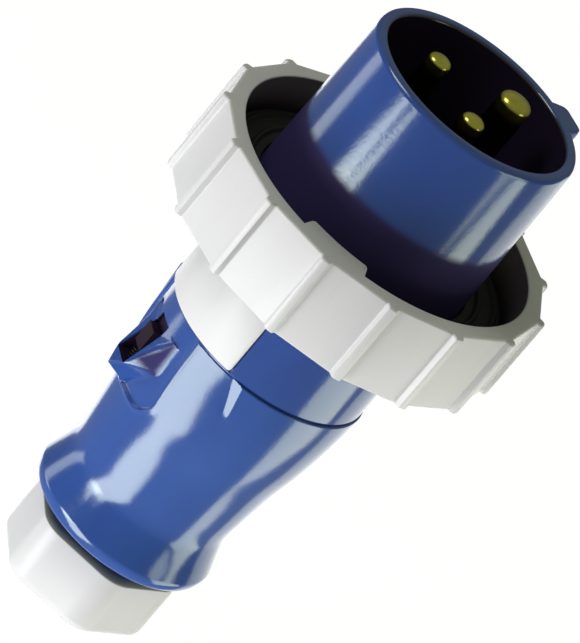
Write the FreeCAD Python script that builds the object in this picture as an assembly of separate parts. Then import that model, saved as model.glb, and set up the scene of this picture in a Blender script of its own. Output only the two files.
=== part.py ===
"""Industrial plug with three round pins, a bayonet locking ring and a cable gland.

The plug stands on the flat outer end of its gland nut, with its axis along +Z and its mouth at the
top. Angles run about +Z from +X, in degrees. All lengths are in millimetres.
"""
import FreeCAD, Part
import math
import os
from FreeCAD import Vector

# Stations along the axis
nut_length = 14.7
collar_gap = 0.4
handle_length = 51.8
barrel_length = 19.8
ring_length = 18.9
shroud_reach = 28.8

# Shroud, barrel and flange of the front housing
shroud_outer_r = 23.0
shroud_wall = 2.5
shroud_draft = 0.8
shroud_depth = 37.5
lip_round = 0.8
barrel_r = 22.2
flange_width = 4.4
flange_thick = 3.5
ledge_thick = 3.0
ledge_inner_r = 15.2
carrier_bore_r = 16.6
spigot_r = 19.2
spigot_length = 11.4
cove_depth = 0.8
cove_length = 1.9
snap_bead = 0.5
snap_bead_width = 0.7
key_angle = 50.0
key_height = 3.6
key_root_width = 8.6
key_top_width = 6.8

# Bayonet ring
rib_count = 15
rib_angle = 3.5
rib_height = 1.8
rib_root_width = 3.8
rib_tip_width = 1.8
ring_wall = 3.4
ring_gasket_gap = 0.8
ring_axial_play = 1.5
ring_web = 3.0
ring_running_gap = 0.3
ring_front_bevel = 0.9
ring_rear_bevel = 0.5
lug_count = 2
lug_angle = -106.0
lug_span = 26.0
lug_depth = 4.0
lug_thick = 3.0
lug_ramp_rise = 1.1

# Retaining clip behind the ring
clip_thick = 0.95
clip_overhang = 2.6
clip_grip = 0.9
clip_groove_clear = 0.1
clip_gap_width = 9.0
clip_recess = 1.5
clip_recess_clear = 0.8

# Flange gasket
gasket_thick = 3.0
gasket_hook_wall = 3.7
gasket_skirt = 2.4
gasket_lip_height = 0.9
gasket_lip_width = 1.5
gasket_inner_lip = 2.4
gasket_outer_lip = 1.7
gasket_inner_clear = 0.2
gasket_edge_clear = 0.1
gasket_key_clear = 0.3

# Pins and their terminals
pin_circle_r = 9.55
pin_pitch_angle = 120.0
earth_angle = 46.5
phase_pin_r = 2.5
earth_pin_r = 3.5
phase_tip_below_rim = 0.1
earth_tip_above_rim = 1.6
tip_edge_share = 0.3
pin_shank_wider = 0.3
pin_hole_clear = 0.1
collar_wider = 0.7
collar_thick = 2.2
terminal_wider = 1.4
earth_terminal_wider = 1.1
terminal_length = 17.0
wire_bore_share = 0.55
wire_bore_depth = 12.0
screw_from_end = 5.5
screw_r = 1.9
screw_head_r = 2.7
screw_head_thick = 1.6
screw_shank_length = 3.4
screw_slot = 0.7
screw_slot_depth = 0.8

# Contact carrier and the plate that holds the pins in it
carrier_length = 14.5
carrier_clear = 0.2
retainer_thick = 2.5
divider_thick = 1.6
divider_length = 15.0
divider_reach_clear = 0.6
hub_r = 3.4
centre_screw_r = 1.45
centre_screw_head_r = 2.6
centre_screw_head_thick = 1.8
centre_screw_in_carrier = 7.0
centre_screw_clear = 0.05

# Seal between the two housings
seal_section_r = 1.0
seal_groove_width = 2.4
seal_groove_from_shoulder = 3.6
seal_ring_clear = 0.05

# Handle
handle_wall = 2.4
handle_front_r = 22.8
handle_shoulder_r = 22.0
handle_body_r = 20.9
handle_palm_r = 19.3
handle_hollow_r = 18.2
handle_waist_r = 17.75
handle_flare_r = 19.9
handle_rear_r = 14.6
flare_height = 4.8
flare_bead_turn = 35.0
waist_start_height = 10.0
waist_start_wider = 0.6
waist_height = 13.4
hollow_height = 18.5
palm_height = 27.0
body_height = 35.5
shoulder_height = 43.5
rear_slope_height = 1.9
rear_slope_r = 18.2
handle_bore_clear = 0.3
handle_bore_depth = 15.6
handle_floor = 3.4

# Shallow relief of the handle's front edge beside the label plate
relief_r = 22.1
relief_from_angle = -184.0
relief_to_angle = -91.8
facet_turn = 6.4
facet_tip_turn = 9.4
facet_length = 7.8

# Thumb pad and latch hood on the handle
latch_angle = -147.4
pad_depth = 0.55
pad_width = 21.8
pad_reach = 20.9
pad_corner_r = 5.0
hood_width = 7.4
hood_root_width = 10.0
hood_front = 2.0
hood_length = 16.1
hood_tail = 2.0
hood_height_r = 25.0
hood_brow_drop = 0.9
hood_foot_sink = 0.6
slot_length = 9.8
slot_end_wall = 1.8
slot_width = 4.6
slot_floor_r = 20.6

# Sliding latch and its spring
latch_clear = 0.3
latch_travel = 2.0
latch_length = 5.0
latch_height = 1.6
latch_nose_share = 0.4
latch_ramp_angle = 35.0
latch_rear_space = 3.8
tooth_length = 1.4
tooth_width = 2.8
tooth_reach_r = 18.0
tooth_behind_nose = 1.4
notch_clear = 0.4
spring_r = 0.75
spring_wire_r = 0.16
spring_turns = 5
spring_end_clear = 0.1

# Label plate
plate_from_angle = -170.0
plate_to_angle = -95.3
plate_proud = 0.3
plate_thick = 0.8
plate_margin = 0.6
plate_gap = 0.25
plate_corner_r = 0.8

# Cable gland
neck_r = 12.6
neck_bore_r = 10.2
nut_apothem = 15.45
nut_corner_round = 6.5
nut_turn = -5.0
nut_end_wall = 2.6
nut_end_round = 2.2
cable_hole_r = 7.8
cable_hole_flare = 0.8
thread_clear = 0.3
washer_thick = 1.3
washer_clear = 0.4
clamp_flange_thick = 2.1
clamp_finger_length = 8.0
clamp_finger_wall = 1.5
clamp_fingers = 8
clamp_slit = 1.2
clamp_clear = 0.2
seal_length = 9.5
seal_bore_r = 5.5
seal_clear = 0.1
seal_bead = 0.5

# Worked out from the values above
handle_rear_z = nut_length + collar_gap
shoulder_z = handle_rear_z + handle_length
ring_rear_z = shoulder_z + barrel_length
ring_front_z = ring_rear_z + ring_length
mouth_z = ring_front_z + shroud_reach
floor_z = mouth_z - shroud_depth
flange_low_z = ring_rear_z + ring_web + ring_axial_play
flange_top_z = flange_low_z + flange_thick
spigot_end_z = shoulder_z - spigot_length
shroud_inner_r = shroud_outer_r - shroud_wall
shroud_root_r = shroud_outer_r + shroud_draft
flange_r = shroud_root_r + flange_width
gasket_outer_r = flange_r + gasket_hook_wall
ring_wall_inner_r = gasket_outer_r + ring_gasket_gap
panel_apothem = ring_wall_inner_r + ring_wall
rib_tip_r = panel_apothem + rib_height
lug_inner_r = ring_wall_inner_r - lug_depth
clip_outer_r = barrel_r + clip_overhang
plate_r = barrel_r + plate_proud
carrier_top_z = floor_z
carrier_seat_z = floor_z - ledge_thick
carrier_low_z = carrier_seat_z - carrier_length
retainer_low_z = carrier_low_z - retainer_thick
terminal_low_z = carrier_low_z - terminal_length
seal_z = shoulder_z - seal_groove_from_shoulder - seal_groove_width / 2
handle_bore_r = spigot_r + handle_bore_clear
clip_low_z = ring_rear_z + clip_recess - ring_running_gap - clip_thick
neck_end_z = nut_end_wall + washer_thick + clamp_flange_thick
slot_rear_z = shoulder_z - hood_front - hood_length + slot_end_wall
latch_low_z = slot_rear_z + latch_rear_space
tooth_low_z = latch_low_z + latch_length - tooth_behind_nose - tooth_length
pins = {
    "line_pin": (earth_angle + pin_pitch_angle, phase_pin_r, phase_tip_below_rim, terminal_wider),
    "neutral_pin": (earth_angle - pin_pitch_angle, phase_pin_r, phase_tip_below_rim, terminal_wider),
    "earth_pin": (earth_angle, earth_pin_r, -earth_tip_above_rim, earth_terminal_wider),
}

UP = Vector(0, 0, 1)
CENTRE = Vector(0, 0, 0)
margin = 1.0
near = 0.01


def polar(radius, angle, height=0.0):
    turn = math.radians(angle)
    return Vector(radius * math.cos(turn), radius * math.sin(turn), height)


def turned(outline):
    """A solid of revolution about the axis from corners given as radius and height."""
    corners = [Vector(radius, 0, height) for radius, height in outline]
    face = Part.Face(Part.makePolygon(corners + corners[:1]))
    return face.revolve(CENTRE, UP, 360)


def drum(radius, low, high, at=CENTRE):
    return Part.makeCylinder(radius, high - low, Vector(at.x, at.y, low), UP)


def tube(inner_r, outer_r, low, high):
    return turned([(inner_r, low), (outer_r, low), (outer_r, high), (inner_r, high)])


def block(x_low, x_high, width, low, high):
    """A box with two faces across +X, centred on Y."""
    corner = Vector(x_low, -width / 2, low)
    return Part.makeBox(x_high - x_low, width, high - low, corner)


def about_axis(shape, angle):
    copy = shape.copy()
    copy.rotate(CENTRE, UP, angle)
    return copy


def prism(corners, low, high):
    """A straight prism along the axis from corners in plan."""
    points = [Vector(corner.x, corner.y, low) for corner in corners]
    face = Part.Face(Part.makePolygon(points + points[:1]))
    return face.extrude(Vector(0, 0, high - low))


def sector(inner_r, outer_r, low, high, start, end):
    """Part of a tube between two angles."""
    profile = [(inner_r, low), (outer_r, low), (outer_r, high), (inner_r, high)]
    corners = [polar(radius, start, height) for radius, height in profile]
    face = Part.Face(Part.makePolygon(corners + corners[:1]))
    return face.revolve(CENTRE, UP, end - start)


def edges_at(shape, test):
    return [edge for edge in shape.Edges if test(edge)]


def is_circle(edge, radius, height):
    curve = edge.Curve
    if not isinstance(curve, Part.Circle):
        return False
    return abs(curve.Radius - radius) < near and abs(curve.Center.z - height) < near


def housing_outline():
    """Half section of the front housing, outside first and then back along the inside."""
    groove_low = seal_z - seal_groove_width / 2
    groove_r = handle_bore_r - 2 * (seal_section_r + seal_ring_clear)
    clip_groove_r = barrel_r - clip_grip
    outside = [
        (carrier_bore_r, spigot_end_z), (spigot_r, spigot_end_z),
        (spigot_r, groove_low), (groove_r, groove_low),
        (groove_r, groove_low + seal_groove_width), (spigot_r, groove_low + seal_groove_width),
        (spigot_r, shoulder_z), (barrel_r - cove_depth, shoulder_z), (barrel_r, shoulder_z + cove_length),
        (barrel_r, clip_low_z), (clip_groove_r, clip_low_z),
        (clip_groove_r, clip_low_z + clip_thick), (barrel_r, clip_low_z + clip_thick),
        (barrel_r, flange_low_z), (flange_r, flange_low_z),
        (flange_r, flange_top_z), (shroud_root_r, flange_top_z),
        (shroud_outer_r, mouth_z),
    ]
    bead_top = retainer_low_z - carrier_clear
    inside = [
        (shroud_inner_r, mouth_z), (shroud_inner_r, floor_z),
        (ledge_inner_r, floor_z), (ledge_inner_r, carrier_seat_z),
        (carrier_bore_r, carrier_seat_z), (carrier_bore_r, bead_top),
        (carrier_bore_r - snap_bead, bead_top - snap_bead_width / 2),
        (carrier_bore_r, bead_top - snap_bead_width),
    ]
    return outside + inside


def polarising_key():
    root = shroud_outer_r - shroud_wall / 2
    tip = shroud_outer_r + key_height
    corners = [
        Vector(root, -key_root_width / 2, 0), Vector(tip, -key_top_width / 2, 0),
        Vector(tip, key_top_width / 2, 0), Vector(root, key_root_width / 2, 0),
    ]
    return about_axis(prism(corners, flange_top_z, mouth_z - lip_round / 2), key_angle)


def plate_recess():
    low = shoulder_z + plate_margin - plate_gap
    high = clip_low_z - plate_margin + plate_gap
    turn = math.degrees(plate_gap / barrel_r)
    start = plate_from_angle - turn
    end = plate_to_angle + turn
    return sector(plate_r - plate_thick, barrel_r + margin, low, high, start, end)


def latch_notch():
    """The slot at the spigot's end that the latch's tooth drops into."""
    top = tooth_low_z + tooth_length + notch_clear
    cut = block(tooth_reach_r - notch_clear, spigot_r + margin, tooth_width + 2 * notch_clear,
                spigot_end_z - margin, top)
    return about_axis(cut, latch_angle)


def front_housing():
    body = turned(housing_outline())
    lip = edges_at(body, lambda edge: is_circle(edge, shroud_inner_r, mouth_z))
    lip += edges_at(body, lambda edge: is_circle(edge, shroud_outer_r, mouth_z))
    body = body.makeFillet(lip_round, lip)
    body = body.fuse(polarising_key())
    body = body.cut(plate_recess())
    return body.cut(latch_notch())


def pin_hole(name, radius, low, high):
    angle = pins[name][0]
    return drum(radius, low, high, polar(pin_circle_r, angle))


def contact_carrier():
    body = turned([
        (0, carrier_low_z), (carrier_bore_r - carrier_clear, carrier_low_z),
        (carrier_bore_r - carrier_clear, carrier_seat_z), (ledge_inner_r - carrier_clear, carrier_seat_z),
        (ledge_inner_r - carrier_clear, carrier_top_z), (0, carrier_top_z),
    ])
    for name, (angle, radius, below, wider) in pins.items():
        shank_hole_r = radius + pin_shank_wider + pin_hole_clear
        body = body.cut(pin_hole(name, shank_hole_r, carrier_low_z - margin, carrier_top_z + margin))
        collar_r = radius + wider + collar_wider + pin_hole_clear
        body = body.cut(pin_hole(name, collar_r, carrier_low_z - margin,
                                 carrier_low_z + collar_thick + pin_hole_clear))
    screw_top = carrier_low_z + centre_screw_in_carrier + margin
    return body.cut(drum(centre_screw_r + centre_screw_clear, carrier_low_z - margin, screw_top))


def pin_retainer():
    """The plate that traps the pins' collars, with a wall between each pair of terminals."""
    reach = carrier_bore_r - divider_reach_clear
    divider_low = retainer_low_z - divider_length
    body = drum(carrier_bore_r - carrier_clear, retainer_low_z, carrier_low_z)
    hub = drum(hub_r, divider_low, retainer_low_z)
    body = body.fuse(hub)
    for name, (angle, radius, below, wider) in pins.items():
        wall = block(0, reach, divider_thick, divider_low, retainer_low_z)
        body = body.fuse(about_axis(wall, angle + pin_pitch_angle / 2))
    for name, (angle, radius, below, wider) in pins.items():
        body = body.cut(pin_hole(name, radius + wider + pin_hole_clear, retainer_low_z - margin,
                                 carrier_low_z + margin))
        clearance = pin_hole(name, radius + wider + carrier_clear, divider_low - margin, retainer_low_z)
        body = body.cut(clearance)
    body = body.cut(drum(centre_screw_r + centre_screw_clear, divider_low - margin, carrier_low_z + margin))
    return body.removeSplitter()


def retainer_screw():
    head_top = retainer_low_z - divider_length
    head = drum(centre_screw_head_r, head_top - centre_screw_head_thick, head_top)
    shank = drum(centre_screw_r, head_top, carrier_low_z + centre_screw_in_carrier)
    slot = block(-centre_screw_head_r, centre_screw_head_r, screw_slot,
                 head_top - centre_screw_head_thick, head_top - centre_screw_head_thick + screw_slot_depth)
    return head.fuse(shank).removeSplitter().cut(slot)


def contact_pin(name):
    """A turned pin: round-edged tip, shaft, collar and a bored terminal with a tapped cross hole."""
    angle, radius, below, wider = pins[name]
    tip_z = mouth_z - below
    terminal_r = radius + wider
    collar_r = terminal_r + collar_wider
    shank_r = radius + pin_shank_wider
    outline = [
        (0, terminal_low_z), (terminal_r, terminal_low_z), (terminal_r, carrier_low_z),
        (collar_r, carrier_low_z), (collar_r, carrier_low_z + collar_thick),
        (shank_r, carrier_low_z + collar_thick), (shank_r, carrier_top_z),
        (radius, carrier_top_z), (radius, tip_z), (0, tip_z),
    ]
    body = turned(outline)
    tip_edge = edges_at(body, lambda edge: is_circle(edge, radius, tip_z))
    body = body.makeFillet(radius * tip_edge_share, tip_edge)
    wire_bore_r = terminal_r * wire_bore_share
    body = body.cut(drum(wire_bore_r, terminal_low_z - margin, terminal_low_z + wire_bore_depth))
    cross = Part.makeCylinder(screw_r, terminal_r + margin,
                              Vector(0, 0, terminal_low_z + screw_from_end), Vector(1, 0, 0))
    body = body.cut(cross)
    body.translate(Vector(pin_circle_r, 0, 0))
    return about_axis(body, angle)


def terminal_screws():
    """One clamping screw in the side of each terminal, its head towards the outside."""
    screws = []
    for name, (angle, radius, below, wider) in pins.items():
        height = terminal_low_z + screw_from_end
        seat = pin_circle_r + radius + wider
        out = Vector(1, 0, 0)
        inner_end = Vector(seat - screw_shank_length, 0, height)
        shank = Part.makeCylinder(screw_r, screw_shank_length, inner_end, out)
        head = Part.makeCylinder(screw_head_r, screw_head_thick, Vector(seat, 0, height), out)
        slot = block(seat + screw_head_thick - screw_slot_depth, seat + screw_head_thick, screw_slot,
                     height - screw_head_r, height + screw_head_r)
        screw = shank.fuse(head).removeSplitter().cut(slot)
        screws.append(about_axis(screw, angle))
    return Part.makeCompound(screws)


def ring_lug():
    """One inner bayonet lug, its rear face a ramp that draws the mating collar in."""
    low = ring_front_z - lug_thick
    outer_r = ring_wall_inner_r + margin
    lug = sector(lug_inner_r, outer_r, low, ring_front_z, 0.0, lug_span)
    run = lug_inner_r * math.radians(lug_span)
    wedge_corners = [
        Vector(0, 0, low - margin), Vector(0, run, low - margin),
        Vector(0, run, low + lug_ramp_rise), Vector(0, 0, low),
    ]
    wedge = Part.Face(Part.makePolygon(wedge_corners + wedge_corners[:1]))
    wedge = wedge.extrude(Vector(outer_r - lug_inner_r + 2 * margin, 0, 0))
    wedge.translate(Vector(lug_inner_r - margin, 0, 0))
    return lug.cut(wedge)


def ring_plan(inset, height):
    """The grip ring's outline at one height, moved inwards: flat panels with a rib on each corner."""
    pitch = math.radians(180.0 / rib_count)
    slope = (rib_root_width - rib_tip_width) / 2 / (rib_tip_r - panel_apothem)
    half_at_axis = rib_root_width / 2 + slope * panel_apothem - inset * math.hypot(1, slope)
    tip = rib_tip_r - inset
    root = panel_apothem - inset - half_at_axis * math.sin(pitch)
    root /= math.cos(pitch) - slope * math.sin(pitch)
    rib = [(root, -1), (tip, -1), (tip, 1), (root, 1)]
    corners = []
    for index in range(rib_count):
        turn = FreeCAD.Rotation(UP, rib_angle + index * 360.0 / rib_count)
        for reach, side in rib:
            corner = Vector(reach, side * (half_at_axis - slope * reach), height)
            corners.append(turn.multVec(corner))
    return Part.makePolygon(corners + corners[:1])


def bayonet_ring():
    """The grip ring: flat panels between ribs, a web that bears on the flange, and two lugs."""
    body = Part.makeLoft([
        ring_plan(ring_rear_bevel, ring_rear_z), ring_plan(0.0, ring_rear_z + ring_rear_bevel),
        ring_plan(0.0, ring_front_z - ring_front_bevel), ring_plan(ring_front_bevel, ring_front_z),
    ], True, True)
    body = body.cut(drum(ring_wall_inner_r, ring_rear_z + ring_web, ring_front_z + margin))
    bore_r = barrel_r + ring_running_gap
    body = body.cut(drum(bore_r, ring_rear_z - margin, ring_rear_z + ring_web + margin))
    body = body.cut(drum(clip_outer_r + clip_recess_clear, ring_rear_z - margin, ring_rear_z + clip_recess))
    lug = ring_lug()
    lugs = [about_axis(lug, lug_angle + index * 360.0 / lug_count) for index in range(lug_count)]
    return body.fuse(lugs).removeSplitter()


def retaining_clip():
    """An open spring ring in the barrel's groove, which keeps the bayonet ring on."""
    inner_r = barrel_r - clip_grip + clip_groove_clear
    body = tube(inner_r, clip_outer_r, clip_low_z, clip_low_z + clip_thick)
    gap = block(0, clip_outer_r + margin, clip_gap_width,
                clip_low_z - margin, clip_low_z + clip_thick + margin)
    return body.cut(about_axis(gap, key_angle))


def flange_gasket():
    """Rubber ring on the flange, hooked over its edge, with two raised sealing lips."""
    inner_r = shroud_root_r + gasket_inner_clear
    edge_r = flange_r + gasket_edge_clear
    top = flange_top_z + gasket_thick
    outline = [
        (inner_r, flange_top_z), (edge_r, flange_top_z), (edge_r, flange_top_z - gasket_skirt),
        (gasket_outer_r, flange_top_z - gasket_skirt), (gasket_outer_r, top),
    ]
    for radius in (gasket_outer_r - gasket_outer_lip, inner_r + gasket_inner_lip):
        outline.append((radius + gasket_lip_width / 2, top))
        outline.append((radius, top + gasket_lip_height))
        outline.append((radius - gasket_lip_width / 2, top))
    outline.append((inner_r, top))
    body = turned(outline)
    slot = block(inner_r - margin, shroud_outer_r + key_height + gasket_key_clear,
                 key_root_width + 2 * gasket_key_clear,
                 flange_top_z - gasket_skirt, top + margin)
    return body.cut(about_axis(slot, key_angle))


def housing_seal():
    centre_r = handle_bore_r - seal_ring_clear - seal_section_r
    return Part.makeTorus(centre_r, seal_section_r, Vector(0, 0, seal_z), UP)


def handle_profile(inset):
    """The handle's outer curve from its flare to its front edge, moved inwards by a wall."""
    stations = [
        (handle_flare_r, flare_height), (handle_waist_r + waist_start_wider, waist_start_height),
        (handle_waist_r, waist_height), (handle_hollow_r, hollow_height), (handle_palm_r, palm_height),
        (handle_body_r, body_height), (handle_shoulder_r, shoulder_height), (handle_front_r, handle_length),
    ]
    points = [Vector(radius - inset, 0, handle_rear_z + height) for radius, height in stations]
    curve = Part.BSplineCurve()
    held = [True] + [False] * (len(points) - 1)
    curve.interpolate(Points=points, Tangents=[UP] * len(points), TangentFlags=held)
    return curve.toShape(), points[0], points[-1]


def handle_envelope(inset):
    """The handle's outer form as a full solid."""
    curve, flare, front = handle_profile(inset)
    rear_edge = Vector(handle_rear_r - inset, 0, handle_rear_z)
    slope = Vector(rear_slope_r - inset, 0, handle_rear_z + rear_slope_height)
    bead_turn = math.radians(flare_bead_turn)
    bead_r = flare.x - slope.x
    bead = Part.Arc(slope, Vector(slope.x + bead_r * math.cos(bead_turn), 0,
                                  flare.z - (flare.z - slope.z) * math.sin(bead_turn)), flare)
    bottom = Vector(0, 0, handle_rear_z)
    top = Vector(0, 0, front.z)
    section = Part.Wire([
        Part.makePolygon([top, bottom, rear_edge, slope]), bead.toShape(), curve,
        Part.makeLine(front, top),
    ])
    return Part.Face(section).revolve(CENTRE, UP, 360)


def thumb_pad():
    """What is taken off the handle for the shallow pad round the latch hood."""
    low = shoulder_z - pad_reach
    outline = block(0, handle_front_r + margin, pad_width, low, shoulder_z + margin)
    rear = edges_at(outline, lambda edge: edge.BoundBox.ZMax < low + near)
    corners = [edge for edge in rear if edge.BoundBox.XLength > margin]
    outline = outline.makeFillet(pad_corner_r, corners)
    return about_axis(outline, latch_angle).cut(handle_envelope(pad_depth))


def edge_relief():
    """Lowers the handle's front edge beside the label plate, and ends in a flat facet.

    The facet's plane rises from the lowered floor to the full front edge, and runs out rearwards."""
    low = shoulder_z - facet_length - margin
    high = shoulder_z + margin
    outer_r = handle_front_r + margin
    foot = polar(relief_r, relief_to_angle, shoulder_z)
    crest = polar(handle_front_r, relief_to_angle + facet_turn, shoulder_z)
    tip = polar(relief_r, relief_to_angle + facet_tip_turn, shoulder_z - facet_length)
    across = (crest - foot).normalize()
    outward = across.cross(tip - foot).normalize()
    if outward.dot(crest) < 0:
        outward = outward * -1
    rearwards = outward.cross(across)
    corner = foot - (across + rearwards) * handle_front_r
    side = 2 * handle_front_r
    above_facet = Part.Face(Part.makePolygon([
        corner, corner + across * side, corner + (across + rearwards) * side,
        corner + rearwards * side, corner,
    ])).extrude(outward * side)
    floor = sector(relief_r, outer_r, low, high, relief_from_angle, relief_to_angle)
    facet = sector(relief_r, outer_r, low, high, relief_to_angle, relief_to_angle + 2 * facet_turn)
    return floor.fuse(facet.common(above_facet))


def latch_hood():
    """The wedge over the latch: it rises rearwards and ends in a steep tail."""
    front = shoulder_z - hood_front
    peak = front - hood_length
    foot_r = handle_body_r - handle_wall
    side = [
        Vector(foot_r, 0, front + margin), Vector(handle_shoulder_r - pad_depth, 0, front),
        Vector(hood_height_r, 0, peak), Vector(hood_height_r - hood_brow_drop, 0, peak - hood_tail / 2),
        Vector(handle_body_r - pad_depth - hood_foot_sink, 0, peak - hood_tail),
        Vector(foot_r, 0, peak - hood_tail),
    ]
    face = Part.Face(Part.makePolygon(side + side[:1]))
    face.translate(Vector(0, -hood_root_width / 2, 0))
    body = face.extrude(Vector(0, hood_root_width, 0))
    low = peak - hood_tail - margin
    inner = foot_r - margin
    outer = hood_height_r + margin
    taper = prism([
        Vector(inner, -hood_root_width / 2, 0), Vector(outer, -hood_width / 2, 0),
        Vector(outer, hood_width / 2, 0), Vector(inner, hood_root_width / 2, 0),
    ], low, front + 2 * margin)
    return about_axis(body.common(taper), latch_angle)


def latch_slot():
    """The pocket in the hood, open along the ramp, and the window for the latch's tooth."""
    pocket = block(slot_floor_r, hood_height_r + margin, slot_width, slot_rear_z, slot_rear_z + slot_length)
    window_low = tooth_low_z - latch_travel - notch_clear
    window_high = tooth_low_z + tooth_length + notch_clear
    window = block(tooth_reach_r - margin, slot_floor_r + margin, tooth_width + 2 * notch_clear,
                   window_low, window_high)
    return about_axis(pocket.fuse(window), latch_angle)


def handle_cavity():
    """The room for the conductors, and the bore that takes the front housing's spigot."""
    bore_low = shoulder_z - handle_bore_depth
    floor = handle_rear_z + handle_floor + flare_height
    inside = handle_envelope(handle_wall)
    inside = inside.common(drum(handle_bore_r, floor, bore_low))
    bore = drum(handle_bore_r, bore_low, shoulder_z + margin)
    return inside.fuse(bore)


def handle():
    body = handle_envelope(0.0)
    body = body.cut(thumb_pad())
    body = body.cut(edge_relief())
    body = body.fuse(latch_hood())
    body = body.cut(handle_cavity())
    body = body.cut(latch_slot())
    body = body.fuse(drum(neck_r, neck_end_z, handle_rear_z))
    bore_top = handle_rear_z + handle_floor + flare_height + margin
    body = body.cut(drum(neck_bore_r, neck_end_z - margin, bore_top))
    return body.removeSplitter()


def housing_latch():
    """The sliding catch: a block in the pocket with a tooth through the handle's wall."""
    width = slot_width - 2 * latch_clear
    floor_r = slot_floor_r + latch_clear / 2
    slide = block(floor_r, floor_r + latch_height, width, latch_low_z, latch_low_z + latch_length)
    tooth = block(tooth_reach_r, floor_r + latch_height / 2, tooth_width, tooth_low_z,
                  tooth_low_z + tooth_length)
    nose_r = floor_r + latch_height * latch_nose_share
    latch_top_z = latch_low_z + latch_length
    ramp = Part.makeBox(latch_height, width + 2 * margin, 2 * latch_height,
                        Vector(nose_r, -width / 2 - margin, latch_top_z))
    ramp.rotate(Vector(nose_r, 0, latch_top_z), Vector(0, 1, 0), -latch_ramp_angle)
    body = slide.fuse(tooth).removeSplitter().cut(ramp)
    return about_axis(body, latch_angle)


def latch_spring():
    """A small compression spring between the pocket's end and the latch."""
    length = latch_rear_space - 2 * (spring_wire_r + spring_end_clear)
    helix = Part.makeHelix(length / spring_turns, length, spring_r)
    section = Part.Wire(Part.makeCircle(spring_wire_r, Vector(spring_r, 0, 0), Vector(0, 1, 0)))
    coil = Part.Wire(helix).makePipeShell([section], True, False)
    coil.translate(Vector(slot_floor_r + latch_clear / 2 + latch_height / 2, 0,
                          slot_rear_z + spring_wire_r + spring_end_clear))
    return about_axis(coil, latch_angle)


def label_plate():
    low = shoulder_z + plate_margin
    high = clip_low_z - plate_margin
    body = sector(plate_r - plate_thick, plate_r, low, high, plate_from_angle, plate_to_angle)
    short = edges_at(body, lambda edge: edge.BoundBox.ZLength < near and edge.Length < plate_thick + near)
    return body.makeFillet(plate_corner_r, short)


def gland_nut():
    """A hexagonal cap with rounded corners, a rounded outer end and a hole for the cable."""
    plan = [polar(nut_apothem / math.cos(math.radians(30)), nut_turn + 60.0 * index) for index in range(6)]
    body = prism(plan, 0.0, nut_length)
    upright = edges_at(body, lambda edge: edge.BoundBox.ZLength > nut_length - near)
    body = body.makeFillet(nut_corner_round, upright)
    outer_end = edges_at(body, lambda edge: edge.BoundBox.ZMax < near)
    body = body.makeFillet(nut_end_round, outer_end)
    body = body.cut(drum(neck_r + thread_clear, nut_end_wall, nut_length + margin))
    hole = turned([
        (0, -margin), (cable_hole_r + cable_hole_flare + margin, -margin),
        (cable_hole_r, cable_hole_flare), (cable_hole_r, nut_end_wall + margin), (0, nut_end_wall + margin),
    ])
    return body.cut(hole)


def gland_washer():
    outer_r = neck_r + thread_clear - washer_clear
    return tube(cable_hole_r + clamp_clear, outer_r, nut_end_wall, nut_end_wall + washer_thick)


def gland_clamp():
    """A flanged sleeve whose slit fingers close on the seal round the cable."""
    finger_outer_r = neck_bore_r - clamp_clear
    finger_inner_r = finger_outer_r - clamp_finger_wall
    low = nut_end_wall + washer_thick
    body = turned([
        (finger_inner_r, low), (neck_r - clamp_clear, low), (neck_r - clamp_clear, neck_end_z),
        (finger_outer_r, neck_end_z), (finger_outer_r, neck_end_z + clamp_finger_length),
        (finger_inner_r, neck_end_z + clamp_finger_length),
    ])
    for index in range(clamp_fingers):
        slit = block(0, finger_outer_r + margin, clamp_slit, neck_end_z + margin,
                     neck_end_z + clamp_finger_length + margin)
        body = body.cut(about_axis(slit, index * 360.0 / clamp_fingers))
    return body


def gland_seal():
    """The rubber sleeve in the clamp, with a bead at each end."""
    outer_r = neck_bore_r - clamp_clear - clamp_finger_wall - seal_clear
    low = neck_end_z
    high = low + seal_length
    return turned([
        (seal_bore_r, low), (outer_r, low), (outer_r, high - seal_bead),
        (outer_r - seal_bead, high), (seal_bore_r + seal_bead, high), (seal_bore_r, high - seal_bead),
    ])


def build():
    nodes = {
        "front_housing": front_housing(),
        "contact_carrier": contact_carrier(),
        "pin_retainer": pin_retainer(),
        "retainer_screw": retainer_screw(),
        "terminal_screws": terminal_screws(),
        "flange_gasket": flange_gasket(),
        "bayonet_ring": bayonet_ring(),
        "retaining_clip": retaining_clip(),
        "housing_seal": housing_seal(),
        "handle": handle(),
        "housing_latch": housing_latch(),
        "latch_spring": latch_spring(),
        "label_plate": label_plate(),
        "gland_seal": gland_seal(),
        "gland_clamp": gland_clamp(),
        "gland_washer": gland_washer(),
        "gland_nut": gland_nut(),
    }
    for name in pins:
        nodes[name] = contact_pin(name)
    return nodes


os.makedirs("parts", exist_ok=True)
for name, shape in build().items():
    shape.exportStep(f"parts/{name}.step")
    print(name, round(shape.Volume / 1000, 2), "cm3", shape.isValid(), len(shape.Solids))
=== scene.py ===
import bpy
import math
from mathutils import Matrix, Vector


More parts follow.
